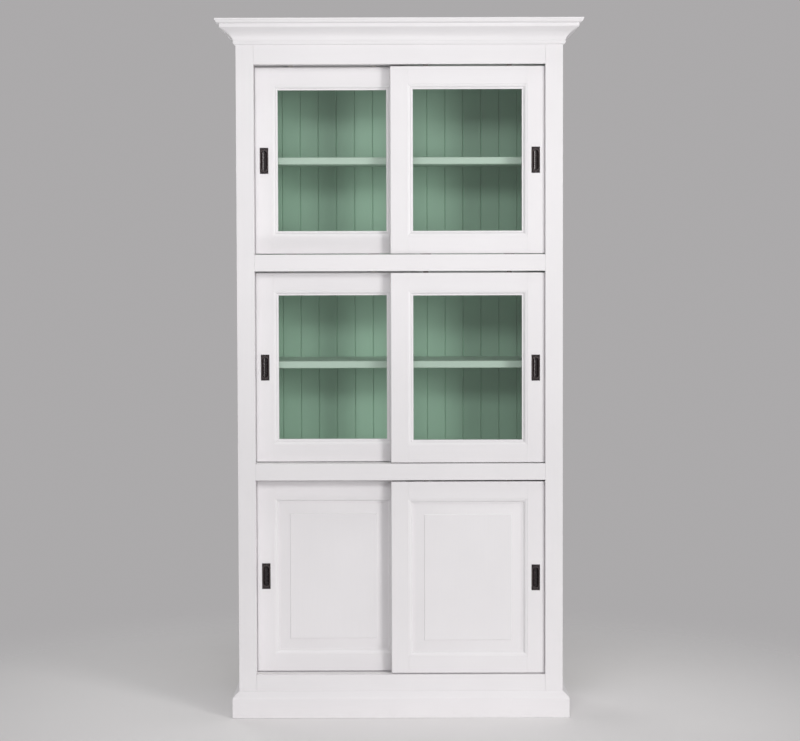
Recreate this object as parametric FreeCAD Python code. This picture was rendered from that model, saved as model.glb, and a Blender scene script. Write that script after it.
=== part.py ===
import FreeCAD
import Part
import math
import os

# Tall kitchen cupboard with three tiers of sliding doors. Sizes are in millimetres.
# The front faces -Y and the floor is z = 0. Depths run back from the front of the face frame.

# Body
body_width = 1000.0
body_depth = 360.0
base_height = 131.0
lower_opening = 603.0
middle_opening = 593.0
upper_opening = 581.0
frieze_height = 58.0
side_thickness = 20.0
floor_thickness = 20.0
top_thickness = 20.0
housing_depth = 6.0
fit_gap = 0.1

# Face frame
face_thickness = 20.0
face_stile_width = 54.0
face_rail_height = 51.0
bottom_rail_height = 90.0
face_tenon_length = 30.0
face_tenon_thickness = 7.0
face_tenon_shoulder = 8.0

# Back of tongued and grooved boards, set out from the middle
back_thickness = 12.0
back_lap = 10.0
back_foot = 60.0
board_width = 58.0
board_gap = 0.3
board_vee = 2.2
tongue_thickness = 4.0
tongue_length = 5.0

# Shelves on bearers
shelf_thickness = 22.0
lower_shelf_rise = 305.0
middle_shelf_rise = 312.0
upper_shelf_rise = 300.0
shelf_setback = 10.0
shelf_end_gap = 0.8
shelf_nose = 3.0
bearer_width = 18.0
bearer_height = 28.0
bearer_setback = 12.0
bearer_splay = 14.0

# Cornice, from its foot up: bead, cove, band, ovolo and cap
cornice_height = 78.0
cornice_out = 60.0
cap_height = 5.0
cap_lip = 2.0
ovolo_height = 10.5
band_height = 10.5
band_out = 46.0
cove_out = 34.0
cove_bow = 0.09
soffit_fall = 8.0
bead_height = 12.0
bead_out = 8.0
bead_quirk = 2.0

# Plinth
plinth_height = 80.0
plinth_thickness = 20.0
plinth_bevel = 18.0
plinth_land = 1.5
plinth_round = 3.0

# Door runs
door_setback = 12.0
door_spacing = 18.0
door_rear_gap = 5.0
header_groove_width = 9.0
header_groove_depth = 15.0
header_lip_depth = 8.0
header_lip_drop = 10.0
channel_width = 9.0
channel_height = 8.0
channel_wall = 1.4
running_gap = 0.4

# Doors
door_thickness = 22.0
door_overlap = 58.0
door_edge_gap = 0.7
door_top_gap = 5.5
door_bottom_gap = 2.0
member_width = 70.0
sticking_width = 16.0
sticking_depth = 8.0
sticking_quirk = 1.4
sticking_fillet = 5.5
door_round = 3.5
tenon_length = 36.0
tenon_thickness = 7.0
tenon_shoulder = 9.0

# Glazing
glass_thickness = 4.0
glass_seat = 11.0
glass_gap = 0.8
rebate_width = 10.0
bead_edge = 2.5

# Fielded panels
groove_front = 10.0
groove_depth = 10.0
panel_tongue = 6.0
panel_gap = 0.8
panel_bevel = 32.0
field_rise = 8.0
field_step = 2.0
field_slope = 1.5

# Flush pulls
pull_width = 26.0
pull_length = 80.0
pull_plate = 1.6
pull_bevel = 0.7
pull_rim = 1.2
pull_rim_width = 2.6
pull_rim_bevel = 0.5
pull_wall = 1.2
cup_width = 18.4
cup_length = 63.0
cup_depth = 10.0
cup_edge = 3.0
pull_inset = 28.0

# Top guides and bottom glides of the doors
runner_inset = 109.0
runner_depth = 15.0
guide_length = 15.0
guide_engagement = 9.0
guide_hold = 12.0
glide_length = 34.0
glide_width = 12.0
glide_stem = 20.0
glide_hold = 10.0
fin_length = 26.0
fin_depth = 4.5

# Sizes that follow from the ones above
tiers = ("lower", "middle", "upper")
openings = {"lower": lower_opening, "middle": middle_opening, "upper": upper_opening}
shelf_rises = {"lower": lower_shelf_rise, "middle": middle_shelf_rise, "upper": upper_shelf_rise}
floors = {}
ceilings = {}
level = base_height
for tier in tiers:
    floors[tier] = level
    ceilings[tier] = level + openings[tier]
    level = ceilings[tier] + face_rail_height
cornice_foot = ceilings["upper"] + frieze_height
total_height = cornice_foot + cornice_height
carcass_top = total_height - top_thickness
half_body = body_width / 2.0
inner_half = half_body - side_thickness
half_opening = half_body - face_stile_width
front_y = (cornice_out - body_depth) / 2.0
back_front = body_depth - back_thickness
header_height = face_rail_height - floor_thickness
rear_setback = door_setback + door_thickness + door_spacing
run_back = rear_setback + door_thickness + door_rear_gap
shelf_front = run_back + shelf_setback
door_width = half_opening - door_edge_gap + door_overlap / 2.0
door_travel = 2.0 * (half_opening - door_edge_gap) - door_width
flat_width = member_width - sticking_width
rebate_edge = member_width - rebate_width
guide_thickness = header_groove_width - 2.0 * running_gap
fin_thickness = channel_width - 2.0 * (channel_wall + running_gap)
setbacks = {"left": rear_setback, "right": door_setback}
face_rails = {
    "bottom_face_rail": (base_height - bottom_rail_height, base_height),
    "lower_face_rail": (ceilings["lower"], floors["middle"]),
    "upper_face_rail": (ceilings["middle"], floors["upper"]),
    "top_face_rail": (ceilings["upper"], carcass_top),
}


def at(x, depth, z):
    return FreeCAD.Vector(x, front_y + depth, z)


def board(xs, depths, zs):
    corner = at(xs[0], depths[0], zs[0])
    return Part.makeBox(xs[1] - xs[0], depths[1] - depths[0], zs[1] - zs[0], corner)


# A path is a list of points. A pair of points in it is an arc, given by its middle and its end.
def outline(path, place):
    here = place(*path[0])
    edges = []
    for step in path[1:] + path[:1]:
        if isinstance(step[0], tuple):
            end = place(*step[1])
            edges.append(Part.Arc(here, place(*step[0]), end).toShape())
        else:
            end = place(*step)
            if end.isEqual(here, 1e-6):
                continue
            edges.append(Part.LineSegment(here, end).toShape())
        here = end
    return Part.Face(Part.Wire(edges))


def sweep(path, place, run):
    solid = outline(path, place).extrude(run)
    if solid.Volume < 0:
        solid.reverse()
    return solid


def upright(path, low, high):
    return sweep(path, lambda x, depth: at(x, depth, low), FreeCAD.Vector(0, 0, high - low))


def crosswise(path, left, right):
    return sweep(path, lambda z, depth: at(left, depth, z), FreeCAD.Vector(right - left, 0, 0))


def fore_and_aft(path, front, back):
    return sweep(path, lambda x, z: at(x, front, z), FreeCAD.Vector(0, back - front, 0))


# Middle of an arc that stands off the chord from start to end by a share of it, to its left.
def bowed(start, end, share):
    across = end[0] - start[0]
    up = end[1] - start[1]
    return ((start[0] + end[0]) / 2.0 - share * up, (start[1] + end[1]) / 2.0 + share * across)


def flipped(path, size):
    turned = []
    for step in path:
        if isinstance(step[0], tuple):
            turned.append(((size - step[0][0], step[0][1]), (size - step[1][0], step[1][1])))
        else:
            turned.append((size - step[0], step[1]))
    return turned


def mirrored(shape):
    return shape.mirror(FreeCAD.Vector(0, 0, 0), FreeCAD.Vector(1, 0, 0))


def stadium(width, length, x, depth, z):
    half = width / 2.0
    straight = length / 2.0 - half
    path = [
        (x - half, z - straight),
        ((x, z - straight - half), (x + half, z - straight)),
        (x + half, z + straight),
        ((x, z + straight + half), (x - half, z + straight)),
    ]
    return outline(path, lambda across, up: at(across, depth, up))


def side_board():
    shape = board((inner_half, half_body), (face_thickness, body_depth), (0, carcass_top))
    rabbet = board((inner_half, inner_half + back_lap), (back_front, body_depth), (0, carcass_top))
    shape = shape.cut(rabbet)
    for tier in tiers:
        heights = (floors[tier] - floor_thickness - fit_gap, floors[tier] + fit_gap)
        housing = (inner_half, inner_half + housing_depth)
        shape = shape.cut(board(housing, (face_thickness, back_front), heights))
    return shape


def shelf_bearer(tier):
    top = floors[tier] + shelf_rises[tier] - shelf_thickness
    low = top - bearer_height
    front = shelf_front + bearer_setback
    rear = back_front - shelf_end_gap
    path = [(low, front + bearer_splay), (low, rear), (top, rear), (top, front), (low + bearer_splay, front)]
    return crosswise(path, inner_half - bearer_width, inner_half)


def shelf(tier):
    top = floors[tier] + shelf_rises[tier]
    low = top - shelf_thickness
    rear = back_front - shelf_end_gap
    inset = shelf_nose * (1.0 - math.sqrt(0.5))
    path = [
        (low, shelf_front + shelf_nose),
        (low, rear),
        (top, rear),
        (top, shelf_front + shelf_nose),
        ((top - inset, shelf_front + inset), (top - shelf_nose, shelf_front)),
        (low + shelf_nose, shelf_front),
        ((low + inset, shelf_front + inset), (low, shelf_front + shelf_nose)),
    ]
    return crosswise(path, shelf_end_gap - inner_half, inner_half - shelf_end_gap)


def run_centre(side):
    return setbacks[side] + runner_depth


# Each floor carries two grooves, stopped at the door stops, for the bottom channels.
def floor_board(tier):
    top = floors[tier]
    reach = inner_half + housing_depth - fit_gap
    shape = board((-reach, reach), (face_thickness, back_front), (top - floor_thickness, top))
    half = channel_width / 2.0 + fit_gap
    for side in setbacks:
        depths = (run_centre(side) - half, run_centre(side) + half)
        shape = shape.cut(board((-half_opening, half_opening), depths, (top - channel_height, top)))
    return shape


def bottom_channel(tier, side):
    top = floors[tier]
    low = top - channel_height
    front = run_centre(side) - channel_width / 2.0
    back = front + channel_width
    path = [
        (top, front),
        (low, front),
        (low, back),
        (top, back),
        (top, back - channel_wall),
        (low + channel_wall, back - channel_wall),
        (low + channel_wall, front + channel_wall),
        (top, front + channel_wall),
    ]
    return crosswise(path, fit_gap - half_opening, half_opening - fit_gap)


def header(tier):
    low = ceilings[tier]
    shape = board((-half_opening, half_opening), (face_thickness, run_back), (low, low + header_height))
    half = header_groove_width / 2.0
    for side in setbacks:
        depths = (run_centre(side) - half, run_centre(side) + half)
        shape = shape.cut(board((-half_opening, half_opening), depths, (low, low + header_groove_depth)))
    return shape


# A strip behind the header that closes the gap over the doors.
def header_lip(tier):
    depths = (run_back, run_back + header_lip_depth)
    heights = (ceilings[tier] - header_lip_drop, ceilings[tier] + header_height)
    return board((-half_opening, half_opening), depths, heights)


def door_stop(tier):
    heights = (floors[tier], ceilings[tier] + header_height)
    return board((half_opening, inner_half), (face_thickness, run_back), heights)


def face_tenon(heights, gap):
    half = face_tenon_thickness / 2.0 + gap
    middle = face_thickness / 2.0
    low = heights[0] + face_tenon_shoulder - gap
    high = heights[1] - face_tenon_shoulder + gap
    ends = (half_opening, half_opening + face_tenon_length + gap)
    return board(ends, (middle - half, middle + half), (low, high))


def face_stile():
    shape = board((half_opening, half_body), (0, face_thickness), (0, carcass_top))
    for heights in face_rails.values():
        shape = shape.cut(face_tenon(heights, fit_gap))
    return shape


def face_rail(heights):
    shape = board((-half_opening, half_opening), (0, face_thickness), heights)
    tenon = face_tenon(heights, 0.0)
    return shape.fuse([tenon, mirrored(tenon)]).removeSplitter()


# Boards with a tongue on the right edge, a groove on the left and a vee on the face.
def back_boards():
    limit = inner_half + back_lap - board_gap
    count = math.ceil((limit / board_width) - 0.5)
    middle = back_front + back_thickness / 2.0
    boards = []
    for place in range(-count, count + 1):
        left = max(place * board_width - board_width / 2.0 + board_gap / 2.0, -limit)
        right = min(place * board_width + board_width / 2.0 - board_gap / 2.0, limit)
        path = [(left + board_vee, back_front), (right - board_vee, back_front)]
        path.append((right, back_front + board_vee))
        if place < count:
            half = tongue_thickness / 2.0
            path.append((right, middle - half))
            path.append((right + tongue_length, middle - half))
            path.append((right + tongue_length, middle + half))
            path.append((right, middle + half))
        path.append((right, body_depth))
        path.append((left, body_depth))
        if place > -count:
            half = tongue_thickness / 2.0 + board_gap
            bottom = left + tongue_length + board_gap
            path.append((left, middle + half))
            path.append((bottom, middle + half))
            path.append((bottom, middle - half))
            path.append((left, middle - half))
        path.append((left, back_front + board_vee))
        boards.append(upright(path, back_foot, carcass_top))
    return boards


# A moulding round the front and both sides, given by its section as (out, z), in mitred lengths.
def mitred_lengths(path, out):
    far = half_body + out
    spare = out + 5.0
    tip = (half_body + spare, -spare)
    tall = (-5.0, total_height + 5.0)
    front = sweep(path, lambda p, z: at(-far, -p, z), FreeCAD.Vector(2.0 * far, 0, 0))
    outside = upright([(half_body, 0), tip, (tip[0], 5.0), (half_body, 5.0)], *tall)
    front = front.cut(outside).cut(mirrored(outside))
    right = sweep(path, lambda p, z: at(half_body + p, -out, z), FreeCAD.Vector(0, out + body_depth, 0))
    ahead = upright([(half_body, 0), tip, (half_body - 5.0, -spare), (half_body - 5.0, 0)], *tall)
    right = right.cut(ahead)
    return front, mirrored(right), right


def cornice_section():
    foot = cornice_foot
    top = total_height
    ovolo_top = top - cap_height
    band_top = ovolo_top - ovolo_height
    band_low = band_top - band_height
    bead = (bead_out, foot + bead_height)
    cove_foot = (bead_out - bead_quirk, foot + bead_height)
    cove_head = (cove_out, band_low - soffit_fall)
    ovolo_head = (cornice_out - cap_lip, ovolo_top)
    return [
        (0, foot),
        (bowed((0, foot), bead, -0.2), bead),
        cove_foot,
        (bowed(cove_foot, cove_head, cove_bow), cove_head),
        (band_out, band_low),
        (band_out, band_top),
        (bowed((band_out, band_top), ovolo_head, -0.2), ovolo_head),
        (cornice_out, ovolo_top),
        (cornice_out, top),
        (0, top),
    ]


def plinth_section():
    edge = plinth_height - plinth_bevel
    across = plinth_thickness - plinth_land
    slant = math.hypot(across, plinth_bevel)
    start = (plinth_thickness, edge - plinth_round)
    end = (plinth_thickness - plinth_round * across / slant, edge + plinth_round * plinth_bevel / slant)
    turn = math.atan2(across, plinth_bevel)
    return [
        (0, 0),
        (plinth_thickness, 0),
        start,
        (bowed(start, end, -0.5 * math.tan(turn / 4.0)), end),
        (plinth_land, plinth_height),
        (0, plinth_height),
    ]


# Section of a door member from its outer edge inwards, as (distance, depth).
def member_section(glazed):
    fillet = member_width - sticking_fillet
    start = (flat_width, sticking_quirk)
    end = (fillet, sticking_depth - sticking_quirk)
    path = [(0, 0), (flat_width, 0), start, (bowed(start, end, -0.16), end)]
    path.append((fillet, sticking_depth))
    path.append((member_width, sticking_depth))
    if glazed:
        path.append((member_width, glass_seat))
        path.append((rebate_edge, glass_seat))
        path.append((rebate_edge, door_thickness))
    else:
        groove_back = groove_front + panel_tongue + 2.0 * fit_gap
        path.append((member_width, groove_front))
        path.append((member_width - groove_depth, groove_front))
        path.append((member_width - groove_depth, groove_back))
        path.append((member_width, groove_back))
        path.append((member_width, door_thickness))
    path.append((0, door_thickness))
    return path


# Four members of a frame, mitred along the lines in from the point (start, start) of each corner.
def frame_members(path, start, ends, height):
    spare = member_width + 1.0
    depths = (-5.0, door_thickness + 5.0)
    under = [(start, start), (spare, spare), (spare, -5.0), (start, -5.0)]
    beside = [(start, start), (spare, spare), (-5.0, spare), (-5.0, start)]
    stile = upright(path, ends, height - ends)
    top_under = [(x, height - z) for x, z in under]
    stile = stile.cut(fore_and_aft(under, *depths)).cut(fore_and_aft(top_under, *depths))
    rail = crosswise(path, start, door_width - start)
    far_beside = [(door_width - x, z) for x, z in beside]
    rail = rail.cut(fore_and_aft(beside, *depths)).cut(fore_and_aft(far_beside, *depths))
    middle = at(door_width / 2.0, 0, height / 2.0)
    other_stile = stile.mirror(middle, FreeCAD.Vector(1, 0, 0))
    other_rail = rail.mirror(middle, FreeCAD.Vector(0, 0, 1))
    return stile, other_stile, rail, other_rail


def door_tenon(gap):
    half = tenon_thickness / 2.0 + gap
    middle = door_thickness / 2.0
    heights = (tenon_shoulder - gap, flat_width - tenon_shoulder + gap)
    return board((flat_width - tenon_length - gap, flat_width), (middle - half, middle + half), heights)


def corners(shape, height):
    middle = at(door_width / 2.0, 0, height / 2.0)
    right = shape.mirror(middle, FreeCAD.Vector(1, 0, 0))
    return [shape, right] + [s.mirror(middle, FreeCAD.Vector(0, 0, 1)) for s in (shape, right)]


def door_envelope(height):
    block = board((0, door_width), (0, door_thickness), (0, height))
    front = [e for e in block.Edges if all(abs(v.Y - front_y) < 1e-6 for v in e.Vertexes)]
    return block.makeFillet(door_round, front)


def door_frame(height, glazed, pull_x):
    left, right, bottom, top = frame_members(member_section(glazed), flat_width, 0.0, height)
    bottom = bottom.fuse(corners(door_tenon(0.0), height)[:2]).removeSplitter()
    top = top.fuse(corners(door_tenon(0.0), height)[2:]).removeSplitter()
    pocket = cup_block(pull_x, height / 2.0, pull_wall + fit_gap)
    envelope = door_envelope(height)
    stiles = []
    for stile in (left, right):
        stiles.append(stile.cut(corners(door_tenon(fit_gap), height) + [pocket]).common(envelope))
    rails = []
    for rail in (bottom, top):
        rails.append(rail.cut(runner_pockets(height)).common(envelope))
    return stiles, rails


def runner_places():
    return (runner_inset, door_width - runner_inset)


def centred(x, length, thickness, heights):
    half = length / 2.0
    depths = (runner_depth - thickness / 2.0, runner_depth + thickness / 2.0)
    return board((x - half, x + half), depths, heights)


def runner_pockets(height):
    pockets = []
    room = 2.0 * fit_gap
    for x in runner_places():
        heights = (height - guide_hold - fit_gap, height + 1.0)
        pockets.append(centred(x, guide_length + room, guide_thickness + room, heights))
        stem = (-1.0, glide_hold + fit_gap)
        pockets.append(centred(x, glide_stem + room, fin_thickness + room, stem))
    return pockets


# A guide stands in the header's groove. A glide rests in the channel on its fin and shoe.
def runners(height):
    solids = []
    for x in runner_places():
        heights = (height - guide_hold, height + door_top_gap + guide_engagement)
        guide = centred(x, guide_length, guide_thickness, heights)
        peak = [e for e in guide.Edges if all(v.Z > heights[1] - 1e-6 for v in e.Vertexes)]
        solids.append(guide.makeChamfer(1.0, peak))
        shoe = centred(x, glide_length, glide_width, (running_gap - door_bottom_gap, 0.0))
        stem = centred(x, glide_stem, fin_thickness, (0.0, glide_hold))
        fin_heights = (-door_bottom_gap - fin_depth, running_gap - door_bottom_gap)
        fin = centred(x, fin_length, fin_thickness, fin_heights)
        solids.append(shoe.fuse([stem, fin]).removeSplitter())
    return solids


def pane(height):
    edge = rebate_edge + glass_gap
    depths = (glass_seat, glass_seat + glass_thickness)
    return board((edge, door_width - edge), depths, (edge, height - edge))


def glazing_beads(height):
    front = glass_seat + glass_thickness
    nose = (member_width, front + bead_edge)
    heel = (rebate_edge + bead_edge, door_thickness)
    path = [(rebate_edge, front), (member_width, front), nose, (bowed(nose, heel, -0.15), heel)]
    path.append((rebate_edge, door_thickness))
    return frame_members(path, rebate_edge, rebate_edge, height)


def fielded_panel(height):
    edge = member_width - groove_depth + panel_gap
    front = groove_front + fit_gap
    rise = front - field_rise
    half_section = [
        (edge, front + panel_tongue),
        (edge, front),
        (member_width, front),
        (member_width + panel_bevel, rise + field_step),
        (member_width + panel_bevel + field_slope, rise),
    ]
    wide = half_section + flipped(half_section, door_width)[::-1]
    tall = half_section + flipped(half_section, height)[::-1]
    return upright(wide, 0.0, height).common(crosswise(tall, 0.0, door_width))


def cup_block(x, z, wall):
    half = cup_width / 2.0 + wall
    rise = cup_length / 2.0 + wall
    return board((x - half, x + half), (0.0, cup_depth + wall), (z - rise, z + rise))


# Room for the fingers, with a stadium-shaped mouth and a hollowed floor.
def finger_hollow(x, z, front):
    half = cup_width / 2.0
    rise = cup_length / 2.0
    path = [
        (x - half, front),
        (x - half, cup_edge),
        ((x, cup_depth), (x + half, cup_edge)),
        (x + half, front),
    ]
    mouth = stadium(cup_width, cup_length, x, front, z)
    return upright(path, z - rise, z + rise).common(mouth.extrude(FreeCAD.Vector(0, cup_depth - front, 0)))


def flush_pull(height, x):
    z = height / 2.0
    face = -pull_plate
    half = pull_width / 2.0
    plate = board((x - half, x + half), (face, 0.0), (z - pull_length / 2.0, z + pull_length / 2.0))
    rim_edges = [e for e in plate.Edges if all(v.Y < front_y + face + 1e-6 for v in e.Vertexes)]
    plate = plate.makeChamfer(pull_bevel, rim_edges)
    rim_width = cup_width + 2.0 * pull_rim_width
    rim_length = cup_length + 2.0 * pull_rim_width
    rim = stadium(rim_width, rim_length, x, face - pull_rim, z).extrude(FreeCAD.Vector(0, pull_rim, 0))
    crest = [e for e in rim.Edges if all(v.Y < front_y + face - pull_rim + 1e-6 for v in e.Vertexes)]
    rim = rim.makeChamfer(pull_rim_bevel, crest)
    shell = cup_block(x, z, pull_wall)
    shape = plate.fuse([rim, shell]).removeSplitter()
    return shape.cut(finger_hollow(x, z, face - pull_rim))


def door(tier, side):
    height = openings[tier] - door_top_gap - door_bottom_gap
    glazed = tier != "lower"
    if side == "left":
        x = door_edge_gap - half_opening
        pull_x = pull_inset
    else:
        x = half_opening - door_edge_gap - door_width
        pull_x = door_width - pull_inset
    stiles, rails = door_frame(height, glazed, pull_x)
    pieces = {"stiles": stiles, "rails": rails}
    if glazed:
        pieces["pane"] = [pane(height)]
        pieces["beads"] = list(glazing_beads(height))
    else:
        pieces["panel"] = [fielded_panel(height)]
    pieces["pull"] = [flush_pull(height, pull_x)]
    pieces["runners"] = runners(height)
    shift = FreeCAD.Vector(x, setbacks[side], floors[tier] + door_bottom_gap)
    named = {}
    for name, solids in pieces.items():
        named[f"{tier}_{side}_door_{name}"] = [solid.translated(shift) for solid in solids]
    return named


def cupboard():
    nodes = {"left_side": [mirrored(side_board())], "right_side": [side_board()]}
    nodes["left_face_stile"] = [mirrored(face_stile())]
    nodes["right_face_stile"] = [face_stile()]
    for name, heights in face_rails.items():
        nodes[name] = [face_rail(heights)]
    nodes["top_board"] = [board((-half_body, half_body), (0, body_depth), (carcass_top, total_height))]
    for tier in tiers:
        nodes[f"{tier}_floor"] = [floor_board(tier)]
        nodes[f"{tier}_shelf"] = [shelf(tier)]
    bearers = [shelf_bearer(tier) for tier in tiers]
    nodes["shelf_bearers"] = [mirrored(bearer) for bearer in bearers] + bearers
    nodes["back_boards"] = back_boards()
    nodes["top_tracks"] = [header(tier) for tier in tiers] + [header_lip(tier) for tier in tiers]
    nodes["bottom_tracks"] = [bottom_channel(tier, side) for tier in tiers for side in setbacks]
    stops = [door_stop(tier) for tier in tiers]
    nodes["door_stops"] = [mirrored(stop) for stop in stops] + stops
    for name, path, out in (
        ("cornice", cornice_section(), cornice_out),
        ("plinth", plinth_section(), plinth_thickness),
    ):
        for place, shape in zip(("front", "left", "right"), mitred_lengths(path, out)):
            nodes[f"{name}_{place}"] = [shape]
    for tier in tiers:
        for side in setbacks:
            nodes.update(door(tier, side))
    return nodes


def main():
    os.makedirs("parts", exist_ok=True)
    for name, solids in cupboard().items():
        shape = solids[0] if len(solids) == 1 else Part.makeCompound(solids)
        shape.exportStep(f"parts/{name}.step")
    print(f"height {total_height:.1f}, door {door_width:.1f} wide, travel {door_travel:.1f}")


if __name__ == "__main__":
    main()
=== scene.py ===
import bpy
import bmesh
import math
from mathutils import Matrix, Vector


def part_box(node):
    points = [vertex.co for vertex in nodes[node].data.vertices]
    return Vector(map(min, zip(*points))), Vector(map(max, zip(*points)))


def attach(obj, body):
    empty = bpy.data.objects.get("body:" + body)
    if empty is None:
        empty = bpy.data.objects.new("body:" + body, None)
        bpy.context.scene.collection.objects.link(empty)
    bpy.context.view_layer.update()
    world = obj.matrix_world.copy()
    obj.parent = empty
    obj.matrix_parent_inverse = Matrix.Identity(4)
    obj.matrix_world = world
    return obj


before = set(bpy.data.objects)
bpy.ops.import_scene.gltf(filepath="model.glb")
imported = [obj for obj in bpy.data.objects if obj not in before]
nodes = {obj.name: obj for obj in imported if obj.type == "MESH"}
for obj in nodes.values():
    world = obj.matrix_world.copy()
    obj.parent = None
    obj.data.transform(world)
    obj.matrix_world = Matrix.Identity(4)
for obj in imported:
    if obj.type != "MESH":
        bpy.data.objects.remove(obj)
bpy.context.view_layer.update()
tiers = ("lower", "middle", "upper")
hands = ("left", "right")
print("frame loaded:", len(nodes), "pieces")


class Sock:  # one shader socket; sums with it add Math nodes
    def __init__(self, tree, socket=None):
        self.tree = tree
        self.socket = socket

    def node(self, kind, settings=None, inputs=None, out=0):
        made = self.tree.nodes.new(kind)
        for name, value in (settings or {}).items():
            setattr(made, name, value)
        for name, value in (inputs or {}).items():
            if isinstance(value, Sock):
                self.tree.links.new(value.socket, made.inputs[name])
            else:
                made.inputs[name].default_value = value
        return Sock(self.tree, made.outputs[out] if len(made.outputs) else None)

    def math(self, operation, first, second=0.0):
        return self.node("ShaderNodeMath", {"operation": operation}, {0: first, 1: second})

    def __add__(self, other):
        return self.math("ADD", self, other)

    def __sub__(self, other):
        return self.math("SUBTRACT", self, other)

    def __rsub__(self, other):
        return self.math("SUBTRACT", other, self)

    def __mul__(self, other):
        return self.math("MULTIPLY", self, other)

    def __lt__(self, other):
        return self.math("LESS_THAN", self, other)

    def __gt__(self, other):
        return self.math("GREATER_THAN", self, other)

    def __abs__(self):
        return self.math("ABSOLUTE", self)

    __radd__ = __add__
    __rmul__ = __mul__

    def upTo(self, other):  # the larger of two
        return self.math("MAXIMUM", self, other)

    def ramp(self, low, high):  # 0 at low, 1 at high, eased between
        return self.node(
            "ShaderNodeMapRange",
            {"interpolation_type": "SMOOTHSTEP"},
            {"Value": self, "From Min": low, "From Max": high, "To Min": 0.0, "To Max": 1.0},
        )

    def blend(self, first, second):  # self is the share of the second colour
        return self.node(
            "ShaderNodeMix", {"data_type": "RGBA"}, {0: self, 6: first, 7: second}, 2
        )


def place(start, kind="Object"):  # the point on the piece, and its x, y and z
    point = start.node("ShaderNodeTexCoord", out=kind)
    axes = [point.node("ShaderNodeSeparateXYZ", inputs={0: point}, out=i) for i in range(3)]
    return point, axes


def scaled(vector, by):  # a point or colour times another
    return vector.node("ShaderNodeVectorMath", {"operation": "MULTIPLY"}, {0: vector, 1: by})


def toned(colour, tone):  # a colour times one number
    shade = tone.node("ShaderNodeCombineXYZ", None, {0: tone, 1: tone, 2: tone})
    return scaled(colour, shade)


def noise(point, scale, detail=2.0, roughness=0.5):
    return point.node(
        "ShaderNodeTexNoise", None,
        {"Vector": point, "Scale": scale, "Detail": detail, "Roughness": roughness}, "Fac",
    )


def bumped(start, height, strength):  # the height is in metres
    return start.node(
        "ShaderNodeBump", None,
        {"Strength": strength, "Distance": 1.0, "Height": height}, "Normal",
    )


def surface(start, inputs):
    return start.node("ShaderNodeBsdfPrincipled", None, inputs, "BSDF")


def tint(colour):
    return (colour[0], colour[1], colour[2], 1.0)


def newMaterial(name):
    made = bpy.data.materials.new(name)
    made.use_nodes = True
    tree = made.node_tree
    tree.nodes.clear()
    return made, Sock(tree)


def finishWith(start, shader):
    start.node("ShaderNodeOutputMaterial", None, {"Surface": shader})


# Satin paint brushed along the grain
paintLook = {
    "white": (0.845, 0.825, 0.84),
    "green": (0.53, 0.64, 0.56),
    "mottledGreen": (0.50, 0.62, 0.535),
    "shadedGreen": (0.374, 0.562, 0.437),  # painted shade: a darker copy of the green for the boards and walls inside
    "mottles": 7.0,  # per metre, as are the next four
    "brush": (330.0, 9.0),  # bristle marks across and along the grain
    "grain": (95.0, 2.6),
    "clouds": 4.0,
    "peel": 900.0,
    "cloudTone": 0.07,  # how far the coat's tone wanders
    "brushTone": 0.03,
    "gloss": 0.34,
    "greenGloss": 0.46,
    "brushGloss": 0.14,  # how far the gloss wanders
    "cloudGloss": 0.10,
    "brushDepth": 0.00010,
    "grainDepth": 0.00022,
    "peelDepth": 0.00002,
    "bump": 0.55,
    "ior": 1.46,
}
grainAxes = {"upright": 2, "cross": 0, "deep": 1}


def alongGrain(point, marks, axis):
    scale = [marks[0]] * 3
    scale[axis] = marks[1]
    return scaled(point, scale)


def paintCoat(start, point, colour, axis, gloss=paintLook["gloss"]):
    look = paintLook
    brush = noise(alongGrain(point, look["brush"], axis), 1.0, 3.0, 0.6)
    grain = noise(alongGrain(point, look["grain"], axis), 1.0, 4.0, 0.55)
    cloud = noise(point, look["clouds"], 3.0)
    peel = noise(point, look["peel"], 1.0)
    tone = 1.0 + (cloud - 0.5) * look["cloudTone"] + (brush - 0.5) * look["brushTone"]
    rough = gloss + (brush - 0.5) * look["brushGloss"] + (cloud - 0.5) * look["cloudGloss"]
    height = brush * look["brushDepth"] + grain * look["grainDepth"] + peel * look["peelDepth"]
    return surface(start, {
        "Base Color": toned(colour, tone),
        "Roughness": rough,
        "Normal": bumped(start, height, look["bump"]),
        "IOR": look["ior"],
    })


# The white darker in patches towards the floor
lowDarkLook = {
    "colour": (0.52, 0.50, 0.48),
    "heights": (0.002, 0.030),  # it runs out between these
    "marks": (26.0, 26.0, 60.0),  # per metre
    "patchy": (0.40, 0.75),
    "share": 0.12,
}


def whiteDarkerLow(point, axes):
    look = lowDarkLook
    low = 1.0 - axes[2].ramp(*look["heights"])
    marks = noise(scaled(point, look["marks"]), 1.0, 4.0, 0.7).ramp(*look["patchy"])
    return (low * marks * look["share"]).blend(tint(paintLook["white"]), tint(look["colour"]))


def whitePaint(way):
    made, start = newMaterial("white_paint_" + way)
    point, axes = place(start)
    finishWith(start, paintCoat(start, point, whiteDarkerLow(point, axes), grainAxes[way]))
    return made


def greenPaint(way):
    look = paintLook
    made, start = newMaterial("green_paint_" + way)
    point, axes = place(start)
    mottle = noise(point, look["mottles"], 3.0)
    colour = (mottle * 0.5).blend(tint(look["green"]), tint(look["mottledGreen"]))
    finishWith(start, paintCoat(start, point, colour, grainAxes[way], look["greenGloss"]))
    return made


# White outside, green in the room behind the doors
twoToneLook = {"wall": 0.4806, "front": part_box("door_stops")[1].y + 0.0002, "ceiling": 2.1262}


def twoTonePaint(way):
    look = twoToneLook
    made, start = newMaterial("two_tone_paint_" + way)
    point, axes = place(start)
    between = abs(axes[0]) < look["wall"]
    inside = between * (axes[1] > look["front"]) * (axes[2] < look["ceiling"])
    # painted shade: the green inside is the darker copy
    colour = inside.blend(whiteDarkerLow(point, axes), tint(paintLook["shadedGreen"]))
    finishWith(start, paintCoat(start, point, colour, grainAxes[way]))
    return made


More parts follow.
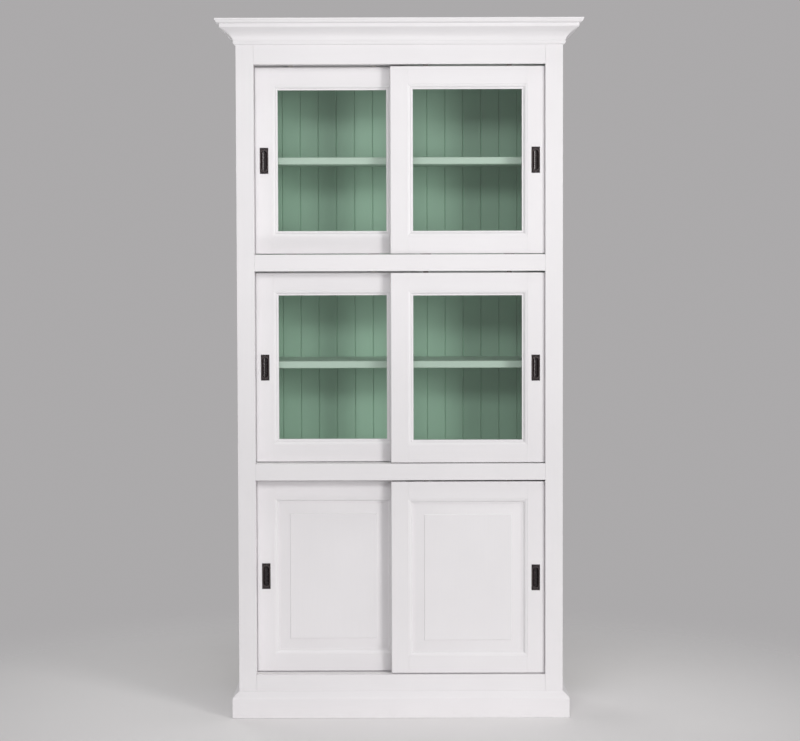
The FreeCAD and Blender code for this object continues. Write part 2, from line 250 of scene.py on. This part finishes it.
# Boards at the back: green in front, thin primer behind
backLook = {
    "rear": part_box("back_boards")[1].y - 0.003,
    "board": 0.058,
    "primer": (0.66, 0.63, 0.58),
    "wood": (0.585, 0.53, 0.46),  # shows through the primer
    "shift": (0.37, 1.91),  # metres of grain between a board and the next, across and up
    "rings": (70.0, 12.0, 2.4),  # per metre
    "streaks": (260.0, 40.0, 5.0),
    "figure": (0.36, 0.66),
    "tone": (0.86, 0.2),  # a board's least tone, and how much lighter it may be
    "joint": (0.485, 0.5),  # in widths from a board's middle
    "jointShade": 0.55,
    "gloss": 0.47,
}


def backBoardPaint():
    look = backLook
    made, start = newMaterial("back_board_paint")
    point, axes = place(start)
    across = axes[0] * (1.0 / look["board"])
    board = start.math("FLOOR", across + 0.5)
    sideways, upwards = look["shift"]
    shift = start.node(
        "ShaderNodeCombineXYZ", None, {0: board * sideways, 1: 0.0, 2: board * upwards}
    )
    moved = start.node("ShaderNodeVectorMath", {"operation": "ADD"}, {0: point, 1: shift})
    rings = noise(scaled(moved, look["rings"]), 1.0, 3.0, 0.5)
    streaks = noise(scaled(moved, look["streaks"]), 1.0, 2.0)
    figure = (rings * 0.7 + streaks * 0.3).ramp(*look["figure"])
    batch = start.node("ShaderNodeTexWhiteNoise", {"noise_dimensions": "1D"}, {"W": board})
    joint = abs(across - board).ramp(*look["joint"])
    least, lighter = look["tone"]
    tone = (least + batch * lighter) * (1.0 - joint * look["jointShade"])
    rear = toned(figure.blend(tint(look["primer"]), tint(look["wood"])), tone)
    # painted shade: the green front of the boards is the darker copy
    colour = (axes[1] > look["rear"]).blend(tint(paintLook["shadedGreen"]), rear)
    finishWith(start, paintCoat(start, point, colour, grainAxes["upright"], look["gloss"]))
    return made


# Clear panes; light passes straight in to the shelves
glassLook = {
    "tint": (0.965, 0.985, 0.972),
    "passing": (0.95, 0.975, 0.96),  # tint of the light that falls through
    "rough": 0.012,
    "smears": (14.0, 14.0, 5.0),  # per metre
    "smearPatchy": (0.45, 0.85),
    "smearRough": 0.05,
    "ripples": 9.0,  # per metre
    "rippleDepth": 0.00025,
    "bump": 0.2,
    "ior": 1.5,
}


def clearGlass():
    look = glassLook
    made, start = newMaterial("clear_glass")
    point, axes = place(start)
    ripple = noise(point, look["ripples"], 1.0)
    smear = noise(scaled(point, look["smears"]), 1.0, 4.0, 0.65).ramp(*look["smearPatchy"])
    body = surface(start, {
        "Base Color": tint(look["tint"]),
        "Roughness": look["rough"] + smear * look["smearRough"],
        "IOR": look["ior"],
        "Transmission Weight": 1.0,
        "Normal": bumped(start, ripple * look["rippleDepth"], look["bump"]),
    })
    clear = start.node("ShaderNodeBsdfTransparent", None, {"Color": tint(look["passing"])})
    shadow = start.node("ShaderNodeLightPath", out="Is Shadow Ray")
    diffuse = start.node("ShaderNodeLightPath", out="Is Diffuse Ray")
    passing = shadow.upTo(diffuse)
    finishWith(start, start.node("ShaderNodeMixShader", None, {0: passing, 1: body, 2: clear}))
    return made


# Dark bronze pulls, with a painted highlight along their raised edges
bronzeLook = {
    "dark": (0.0245, 0.0175, 0.0195),
    "rubbed": (0.050, 0.037, 0.038),
    "rim": (0.175, 0.145, 0.142),
    "fronts": [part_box(f"upper_{hand}_door_pull")[0].y for hand in hands],
    "rimHighlightDepths": (0.0001, 0.0006),  # the painted rim highlight runs out between these depths
    "evenly": 0.42,  # share of the painted rim highlight that isn't patchy
    "mottles": 160.0,  # per metre
    "patchy": (0.45, 0.72),
    "pits": 1500.0,
    "rough": 0.20,
    "pitRough": 0.10,
    "wornRough": 0.07,
    "metal": 0.25,
    "rimMetal": 0.6,
    "coat": 0.35,
    "coatRough": 0.16,
    "mottleDepth": 0.00006,
    "pitDepth": 0.000012,
    "bump": 0.5,
}


def darkBronze():
    look = bronzeLook
    made, start = newMaterial("dark_bronze")
    point, axes = place(start)
    mottle = noise(point, look["mottles"], 4.0, 0.6)
    pits = noise(point, look["pits"], 2.0)
    worn = mottle.ramp(*look["patchy"])
    # painted highlight: the raised rim is lighter and more metallic
    left, right = [1.0 - abs(axes[1] - front).ramp(*look["rimHighlightDepths"]) for front in look["fronts"]]
    rim = left.upTo(right) * (look["evenly"] + worn * (1.0 - look["evenly"]))
    colour = worn.blend(tint(look["dark"]), tint(look["rubbed"]))
    height = mottle * look["mottleDepth"] + pits * look["pitDepth"]
    finishWith(start, surface(start, {
        "Base Color": rim.blend(colour, tint(look["rim"])),
        "Roughness": look["rough"] + (pits - 0.5) * look["pitRough"] + worn * look["wornRough"],
        "Metallic": look["metal"] + rim * look["rimMetal"],
        "Coat Weight": look["coat"],
        "Coat Roughness": look["coatRough"],
        "Normal": bumped(start, height, look["bump"]),
    }))
    return made


# Runners and channels, rubbed along the run
plasticLook = {
    "nylon": ("brown_nylon", (0.20, 0.18, 0.165), 0.42),  # name, colour, roughness
    "paleNylon": ("pale_nylon", (0.62, 0.60, 0.57), 0.42),
    "channel": ("white_plastic", (0.78, 0.77, 0.74), 0.40),
    "drag": (8.0, 500.0, 500.0),  # scratches per metre
    "dragShare": 0.35,
    "dragShade": 0.72,
    "dragRough": 0.2,
    "dragDepth": 0.00005,
    "skin": 2200.0,
    "skinDepth": 0.00003,
    "bump": 0.4,
}


def mouldedPlastic(kind):
    look = plasticLook
    name, colour, gloss = look[kind]
    made, start = newMaterial(name)
    point, axes = place(start)
    drag = noise(scaled(point, look["drag"]), 1.0, 2.0)
    skin = noise(point, look["skin"], 1.0)
    rubbed = [c * look["dragShade"] for c in colour]
    height = skin * look["skinDepth"] + drag * look["dragDepth"]
    finishWith(start, surface(start, {
        "Base Color": (drag * look["dragShare"]).blend(tint(colour), tint(rubbed)),
        "Roughness": gloss + (drag - 0.5) * look["dragRough"],
        "Normal": bumped(start, height, look["bump"]),
    }))
    return made


# Nails, a little tarnished
steelLook = {
    "bright": (0.52, 0.51, 0.50),
    "tarnish": (0.36, 0.33, 0.30),
    "spots": 700.0,  # per metre
    "patchy": (0.4, 0.7),
    "rough": 0.34,
    "spotRough": 0.2,
}


def plainSteel():
    look = steelLook
    made, start = newMaterial("steel")
    point, axes = place(start)
    spots = noise(point, look["spots"], 3.0, 0.6)
    dull = spots.ramp(*look["patchy"])
    finishWith(start, surface(start, {
        "Base Color": dull.blend(tint(look["bright"]), tint(look["tarnish"])),
        "Roughness": look["rough"] + spots * look["spotRough"],
        "Metallic": 1.0,
    }))
    return made


finishes = {}
for way in grainAxes:
    finishes["white_" + way] = whitePaint(way)
    finishes["green_" + way] = greenPaint(way)
    finishes["two_tone_" + way] = twoTonePaint(way)
finishes["back"] = backBoardPaint()
finishes["glass"] = clearGlass()
finishes["bronze"] = darkBronze()
for kind in ("nylon", "paleNylon", "channel"):
    finishes[kind] = mouldedPlastic(kind)
finishes["steel"] = plainSteel()
print("finishes made:", len(finishes))

nodeFinish = {  # the piece's name ends so: its finish and the softness of its arrises in metres
    "_side": ("two_tone_upright", 0.0008),
    "_face_stile": ("white_upright", 0.0012),
    "_face_rail": ("white_cross", 0.0012),
    "top_board": ("two_tone_cross", 0.0008),
    "_floor": ("two_tone_cross", 0.0008),
    "_shelf": ("green_cross", 0.0006),
    "shelf_bearers": ("green_deep", 0.0008),
    "back_boards": ("back", 0.0004),
    "top_tracks": ("white_cross", 0.0006),
    "bottom_tracks": ("channel", 0.0002),
    "door_stops": ("white_upright", 0.0007),
    "_front": ("white_cross", 0.0007),
    "cornice_left": ("white_deep", 0.0007),
    "cornice_right": ("white_deep", 0.0007),
    "plinth_left": ("white_deep", 0.0007),
    "plinth_right": ("white_deep", 0.0007),
    "_stiles": ("white_upright", 0.0006),
    "_rails": ("white_cross", 0.0006),
    "_panel": ("white_upright", 0.0006),
    "_beads": ("white_upright", 0.0004),
    "_pane": ("glass", 0.0),
    "_pull": ("bronze", 0.0),
    "_right_door_runners": ("nylon", 0.0003),
    "_left_door_runners": ("paleNylon", 0.0003),
}
edgeLook = {  # angles in degrees
    "joined": 0.00001,  # points nearer than this are one
    "flat": 0.6,
    "eased": 36.0,
    "steps": 2,
    "evenWeight": 90,
    "castSharp": 32.0,
}


def smoothByAngle(limit):  # sharp edges stay, curved faces run smooth
    group = bpy.data.node_groups.new("smooth_by_angle", "GeometryNodeTree")
    for way in ("INPUT", "OUTPUT"):
        group.interface.new_socket("Geometry", in_out=way, socket_type="NodeSocketGeometry")
    start = Sock(group)
    kind = "GeometryNodeSetShadeSmooth"
    sharp = start.node("GeometryNodeInputMeshEdgeAngle") > math.radians(limit)
    shape = start.node("NodeGroupInput")
    shape = start.node(kind, {"domain": "FACE"}, {0: shape, 2: True})
    shape = start.node(kind, {"domain": "EDGE"}, {0: shape, 1: sharp, 2: False})
    start.node("NodeGroupOutput", None, {0: shape})
    return group


castSmooth = smoothByAngle(edgeLook["castSharp"])


def joined(piece):
    weld = piece.modifiers.new("join", "WELD")
    weld.merge_threshold = edgeLook["joined"]


def soften(piece, width):  # eased arrises on a machined solid
    flat = piece.modifiers.new("flat", "DECIMATE")
    flat.decimate_type = "DISSOLVE"
    flat.angle_limit = math.radians(edgeLook["flat"])
    ease = piece.modifiers.new("ease", "BEVEL")
    ease.width = width
    ease.segments = edgeLook["steps"]
    ease.limit_method = "ANGLE"
    ease.angle_limit = math.radians(edgeLook["eased"])
    ease.use_clamp_overlap = True
    even = piece.modifiers.new("even", "WEIGHTED_NORMAL")
    even.weight = edgeLook["evenWeight"]
    even.keep_sharp = False


for name, piece in nodes.items():
    ending = max((e for e in nodeFinish if name.endswith(e)), key=len)
    finish, width = nodeFinish[ending]
    piece.data.materials.clear()
    piece.data.materials.append(finishes[finish])
    if finish == "bronze":
        joined(piece)
        piece.modifiers.new("smooth", "NODES").node_group = castSmooth
    elif width:
        joined(piece)
        soften(piece, width)
print("finishes given to the solids")


def newPiece(name, shape, body, finish):
    mesh = bpy.data.meshes.new(name)
    shape.to_mesh(mesh)
    shape.free()
    for face in mesh.polygons:
        face.use_smooth = True
    piece = bpy.data.objects.new(name, mesh)
    bpy.context.scene.collection.objects.link(piece)
    mesh.materials.append(finishes[finish])
    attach(piece, body)


def lathe(shape, profile, centre, out, steps):  # a round head turned from (radius, rise) pairs
    side = out.orthogonal().normalized()
    rows = []
    for radius, rise in profile:
        row = []
        for i in range(steps):
            turn = Matrix.Rotation(2.0 * math.pi * i / steps, 3, out)
            row.append(shape.verts.new(centre + out * rise + turn @ side * radius))
        rows.append(row)
    for lower, upper in zip(rows, rows[1:]):
        for i in range(steps):
            j = (i + 1) % steps
            shape.faces.new((lower[i], lower[j], upper[j], upper[i]))
    shape.faces.new(rows[-1])
    shape.faces.new(rows[0][::-1])


def headProfile(look):  # a sunk shank, then the crown in shares of radius and rise
    shank = [(look["radius"], -look["sink"])]
    return shank + [(look["radius"] * wide, look["rise"] * up) for wide, up in look["crown"]]


# Two small pins hold each pull at its ends
pinLook = {
    "radius": 0.0017,
    "rise": 0.0007,
    "sink": 0.0004,
    "crown": ((1.0, 0.0), (0.86, 0.55), (0.5, 0.9), (0.16, 1.0)),
    "steps": 20,
    "inset": 0.0036,
    "plate": 0.0012,  # depth of the plate behind the rim
}


def pullPins(tier, hand):
    low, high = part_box(f"{tier}_{hand}_door_pull")
    look = pinLook
    shape = bmesh.new()
    for z in (low.z + look["inset"], high.z - look["inset"]):
        centre = Vector(((low.x + high.x) / 2.0, low.y + look["plate"], z))
        lathe(shape, headProfile(look), centre, Vector((0.0, -1.0, 0.0)), look["steps"])
    newPiece(f"{tier}_{hand}_pull_pins", shape, f"{tier}_{hand}_door", "bronze")


for tier in tiers:
    for hand in hands:
        pullPins(tier, hand)

# Nails through the boards at the back, into the floors and the top
nailLook = {
    "radius": 0.0021,
    "rise": 0.0003,
    "sink": 0.0006,
    "crown": ((1.0, 0.0), (0.8, 1.0)),
    "steps": 12,
    "edge": 0.015,  # least distance of a board's middle from the edge
    "spacing": 0.058,
    "apart": 0.0145,
    "wander": 0.0016,
    "upWander": 1.7,  # times the wander sideways
    "turns": (7.3, 3.1),  # of the wander, from board to board and row to row
}


def backNails():
    low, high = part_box("back_boards")
    look = nailLook
    levels = [sum(c.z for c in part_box(f"{tier}_floor")) / 2.0 for tier in tiers]
    levels.append(sum(c.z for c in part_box("top_face_rail")) / 2.0)
    count = int((high.x - look["edge"]) / look["spacing"])
    boardTurn, rowTurn = look["turns"]
    shape = bmesh.new()
    for row, z in enumerate(levels):
        for board in range(-count, count + 1):
            for way in (-1, 1):
                wander = look["wander"] * math.sin(boardTurn * board + rowTurn * row + way)
                x = board * look["spacing"] + way * look["apart"]
                centre = Vector((x + wander, high.y, z + look["upWander"] * wander))
                lathe(shape, headProfile(look), centre, Vector((0.0, 1.0, 0.0)), look["steps"])
    newPiece("back_nails", shape, "carcass", "steel")


backNails()
print("fixings added")


# Floor and surroundings
stageLook = {
    "floor": (0.90, 0.885, 0.885),
    "floorMottles": 2.0,  # per metre
    "floorShade": 0.965,
    "floorRough": 0.7,
    "floorSheen": 0.12,
    "radius": 3.0,
    "drop": 0.0005,  # the disc lies this far under the feet
    "fade": (0.75, 2.1),  # the floor runs out between these radii
    "far": (0.41, 0.40, 0.405),  # behind the cupboard
    "above": 0.31,  # light from all round, over and under the horizon
    "below": 0.38,
    "horizon": 0.15,
}


def floorDisc():
    look = stageLook
    shape = bmesh.new()
    bmesh.ops.create_circle(shape, cap_ends=True, segments=96, radius=look["radius"])
    mesh = bpy.data.meshes.new("floor_disc")
    shape.to_mesh(mesh)
    shape.free()
    disc = bpy.data.objects.new("floor_disc", mesh)
    bpy.context.scene.collection.objects.link(disc)
    disc.location.z = -look["drop"]
    made, start = newMaterial("pale_floor")
    point, axes = place(start)
    reach = start.node("ShaderNodeVectorMath", {"operation": "LENGTH"}, {0: point}, "Value")
    mottle = noise(point, look["floorMottles"], 3.0)
    shaded = [c * look["floorShade"] for c in look["floor"]]
    matt = surface(start, {
        "Base Color": mottle.blend(tint(look["floor"]), tint(shaded)),
        "Roughness": look["floorRough"],
        "Specular IOR Level": look["floorSheen"],
    })
    clear = start.node("ShaderNodeBsdfTransparent")
    gone = reach.ramp(*look["fade"])
    finishWith(start, start.node("ShaderNodeMixShader", None, {0: gone, 1: matt, 2: clear}))
    mesh.materials.append(made)


def surroundings():
    look = stageLook
    world = bpy.data.worlds.new("studio")
    bpy.context.scene.world = world
    world.use_nodes = True
    world.node_tree.nodes.clear()
    start = Sock(world.node_tree)
    seen = start.node("ShaderNodeLightPath", out="Is Camera Ray")
    shine = start.node("ShaderNodeLightPath", out="Is Glossy Ray")
    through = start.node("ShaderNodeLightPath", out="Is Transmission Ray")
    point, axes = place(start, "Generated")
    down = (axes[2] * -1.0).ramp(-look["horizon"], look["horizon"])
    light = down.blend(tint([look["above"]] * 3), tint([look["below"]] * 3))
    colour = seen.upTo(shine).upTo(through).blend(light, tint(look["far"]))
    glow = start.node("ShaderNodeBackground", None, {"Color": colour, "Strength": 1.0})
    start.node("ShaderNodeOutputWorld", None, {"Surface": glow})


lampLook = {  # place, target, width, height, spread in degrees, watts, colour
    "key": ((3.4, -4.7, 1.9), (0.0, -0.1, 0.3), 1.5, 2.4, 180.0, 134.0, (1.0, 0.99, 0.985)),
    "high": ((-0.6, -7.0, 4.1), (0.0, -0.1, 0.4), 3.0, 1.4, 180.0, 112.0, (1.0, 0.995, 1.0)),
    "top": ((0.2, -2.3, 7.0), (0.0, -0.2, 0.4), 2.0, 1.2, 180.0, 42.0, (1.0, 1.0, 1.0)),
    "rear": ((-2.6, 5.1, 2.6), (0.0, 0.2, 1.0), 2.4, 2.0, 180.0, 56.0, (1.0, 1.0, 1.0)),
    "rise": ((-0.2, -1.5, 0.06), (0.0, -0.2, 2.1), 1.6, 0.3, 55.0, 1.4, (1.0, 1.0, 1.0)),
}


def panesApart():  # the panes don't mirror the lamps
    apart = bpy.data.collections.new("panes_apart")
    for name, piece in nodes.items():
        if name.endswith("_pane"):
            apart.objects.link(piece)
    for entry in apart.collection_objects:
        entry.light_linking.link_state = "EXCLUDE"
    return apart


def lamps():
    apart = panesApart()
    for name, (spot, target, width, height, spread, watts, colour) in lampLook.items():
        light = bpy.data.lights.new(name, "AREA")
        light.shape = "RECTANGLE"
        light.size = width
        light.size_y = height
        light.spread = math.radians(spread)
        light.energy = watts
        light.color = colour
        lamp = bpy.data.objects.new(name, light)
        bpy.context.scene.collection.objects.link(lamp)
        lamp.light_linking.receiver_collection = apart
        lamp.location = spot
        lamp.rotation_mode = "QUATERNION"
        lamp.rotation_quaternion = (Vector(target) - Vector(spot)).to_track_quat("-Z", "Y")


cameraLook = {
    "distance": 7.0,  # from the face frame
    "height": 1.5,
    "lens": 102.74,
    "sensor": 36.0,
    "pitch": -2.69,  # degrees
    "roll": -0.16,
    "shift": -0.04,
}


def camera():
    look = cameraLook
    data = bpy.data.cameras.new("camera")
    data.sensor_width = look["sensor"]
    data.lens = look["lens"]
    data.shift_y = look["shift"]
    eye = bpy.data.objects.new("camera", data)
    bpy.context.scene.collection.objects.link(eye)
    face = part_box("left_face_stile")[0].y
    stand = Matrix.Translation((0.0, face - look["distance"], look["height"]))
    tilt = Matrix.Rotation(math.radians(90.0 + look["pitch"]), 4, "X")
    roll = Matrix.Rotation(math.radians(look["roll"]), 4, "Z")
    eye.matrix_world = stand @ tilt @ roll
    bpy.context.scene.camera = eye


floorDisc()
surroundings()
lamps()
camera()
bpy.context.scene.view_settings.view_transform = "Standard"
print("stage, lamps and camera set")
